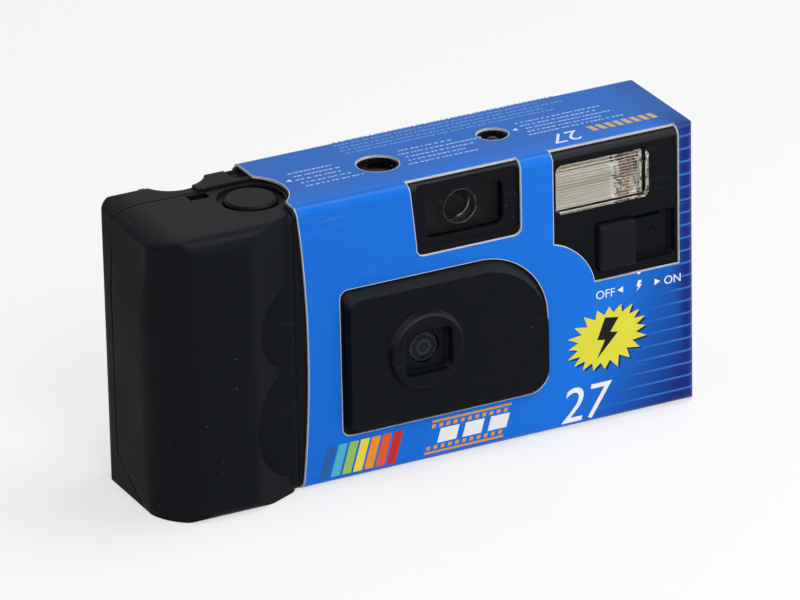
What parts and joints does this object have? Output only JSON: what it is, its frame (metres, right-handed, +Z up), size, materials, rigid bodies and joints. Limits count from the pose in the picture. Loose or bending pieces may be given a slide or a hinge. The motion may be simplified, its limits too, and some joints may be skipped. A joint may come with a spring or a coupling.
{
  "type": "disposable film camera",
  "caption": "Single-use 35 mm film camera with flash: black moulded grip and lens panel in a blue printed card sleeve, with the film path and flash circuit inside.",
  "frame": {"origin": "middle of the base of the whole camera, on the table", "axes": "+X towards the flash end, +Y towards the back, +Z up"},
  "size_m": [0.119, 0.0322, 0.06],
  "materials": {
    "black_plastic": "satin, moulded",
    "printed_card": "printed blue, coated",
    "lens_glass": "clear, polished",
    "inner_plastic": "matt black",
    "button_plastic": "semi-gloss black",
    "spring_steel": "drawn wire",
    "shutter_metal": "matt black sheet",
    "plain_steel": "stamped sheet",
    "film_base": "glossy film",
    "cartridge_steel": "plain lacquer",
    "white_plastic": "matt",
    "reflector": "bright foil",
    "board": "solder-resist green",
    "contact_brass": "bare",
    "coil_brown": "taped winding",
    "cap_sleeve": "shrink sleeve",
    "battery_case": "plain lacquer",
    "lamp": "orange neon"
  },
  "bodies": {
    "camera": {"front_cover": "black_plastic", "rear_cover": "black_plastic", "card_sleeve": "printed_card", "taking_lens": "lens_glass", "lens_retainer": "inner_plastic", "chassis": "inner_plastic", "shutter_spring": "spring_steel", "button_spring": "spring_steel", "cartridge_shell": "cartridge_steel", "cartridge_caps": "plain_steel", "film_strip": "film_base", "counter_window": "lens_glass", "finder_front": "lens_glass", "finder_tunnel": "inner_plastic", "finder_eyepiece": "lens_glass", "flash_window": "lens_glass", "flash_reflector": "reflector", "flash_tube": "lens_glass", "switch_contact": "contact_brass", "circuit_board": "board", "transformer": "coil_brown", "trigger_coil": "coil_brown", "capacitor": "cap_sleeve", "battery": "battery_case", "battery_contacts": "contact_brass", "ready_lamp": "lamp"},
    "film_advance": {"advance_wheel": "button_plastic", "cartridge_spool": "inner_plastic"},
    "film_supply": {"supply_spool": "inner_plastic", "film_roll": "film_base"},
    "sprocket": {"film_sprocket": "white_plastic"},
    "counter": {"counter_dial": "white_plastic"},
    "button": {"shutter_button": "button_plastic"},
    "switch": {"flash_switch": "button_plastic"},
    "blade": {"shutter_blade": "shutter_metal"},
    "lever": {"drive_lever": "plain_steel"},
    "catch": {"release_lever": "inner_plastic"},
    "door": {"film_door": "black_plastic"}
  },
  "joints": [
    {"name": "advance_turn", "type": "hinge", "parent": "camera", "child": "film_advance", "pos_m": [-0.04395, 0.0014, 0.05], "axis": [0, 0, 1], "continuous": true},
    {"name": "supply_turn", "type": "hinge", "parent": "camera", "child": "film_supply", "pos_m": [0.03165, 0.0041, 0.02565], "axis": [0, 0, 1], "continuous": true},
    {"name": "sprocket_turn", "type": "hinge", "parent": "camera", "child": "sprocket", "pos_m": [-0.02275, 0.00705, 0.04065], "axis": [0, 0, 1], "continuous": true},
    {"name": "counter_turn", "type": "hinge", "parent": "camera", "child": "counter", "pos_m": [-0.01065, 0.001, 0.0561], "axis": [0, 0, 1], "continuous": true},
    {"name": "button_press", "type": "slide", "parent": "camera", "child": "button", "axis": [0, 0, -1], "range_m": [0, 0.0018], "stiffness_N_per_m": 300, "springref_m": -0.0006, "deforming": ["button_spring"]},
    {"name": "switch_slide", "type": "slide", "parent": "camera", "child": "switch", "axis": [1, 0, 0], "range_m": [0, 0.009]},
    {"name": "lever_swing", "type": "hinge", "parent": "camera", "child": "lever", "pos_m": [-0.01065, -0.00925, 0.04715], "axis": [0, -1, 0], "range_deg": [0, 18], "stiffness_Nm_per_rad": 0.002},
    {"name": "blade_swing", "type": "hinge", "parent": "camera", "child": "blade", "pos_m": [-0.01065, -0.00855, 0.03315], "axis": [0, 1, 0], "range_deg": [0, 33]},
    {"name": "catch_swing", "type": "hinge", "parent": "camera", "child": "catch", "pos_m": [-0.01815, -0.0056, 0.04465], "axis": [0, -1, 0], "range_deg": [0, 11]},
    {"name": "door_swing", "type": "hinge", "parent": "camera", "child": "door", "pos_m": [-0.04403, 0.0119, 0.0007], "axis": [1, 0, 0], "range_deg": [0, 100]}
  ],
  "couplings": [
    {"joint": "supply_turn", "follows": "advance_turn", "ratio": 0.6087},
    {"joint": "sprocket_turn", "follows": "advance_turn", "ratio": 0.9256},
    {"joint": "counter_turn", "follows": "advance_turn", "ratio": -0.03085},
    {"joint": "blade_swing", "follows": "lever_swing", "ratio": 1.8},
    {"joint": "catch_swing", "follows": "button_press", "rad_per_m": 101}
  ]
}
